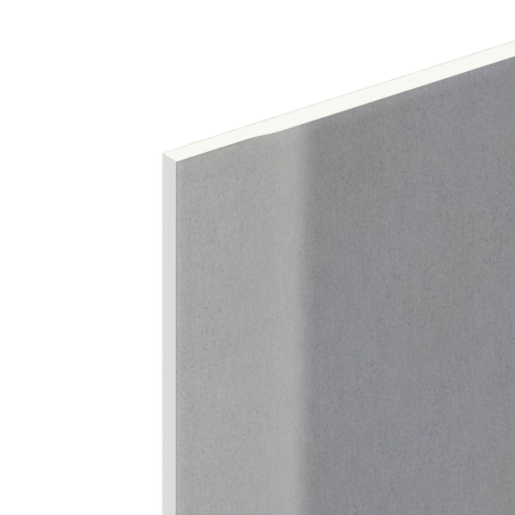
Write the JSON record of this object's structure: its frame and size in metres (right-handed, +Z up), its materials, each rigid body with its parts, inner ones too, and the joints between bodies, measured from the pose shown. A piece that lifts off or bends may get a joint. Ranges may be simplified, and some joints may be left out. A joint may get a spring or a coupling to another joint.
{
  "type": "drywall sheet",
  "caption": "Flat drywall sheet with a gypsum core between a folded face paper and a back paper, thinned along both long edges for joint tape.",
  "frame": {"origin": "centre of the sheet's back, on the floor that it lies on", "axes": "+X across the sheet towards a tapered long edge, +Y along the sheet towards a cut end, +Z up out of the face side"},
  "size_m": [1.2, 2.4, 0.0125],
  "materials": {
    "gypsum": "matt cream-white set gypsum, sawn at the two ends, with fine pores",
    "face_paper": "smooth matt grey board paper with fine mottling and specks, paler round the folded long edges",
    "back_paper": "rougher matt grey-brown recycled liner with fibres"
  },
  "bodies": {
    "root": {"gypsum_core": "gypsum", "face_paper": "face_paper", "back_paper": "back_paper"}
  },
  "joints": []
}
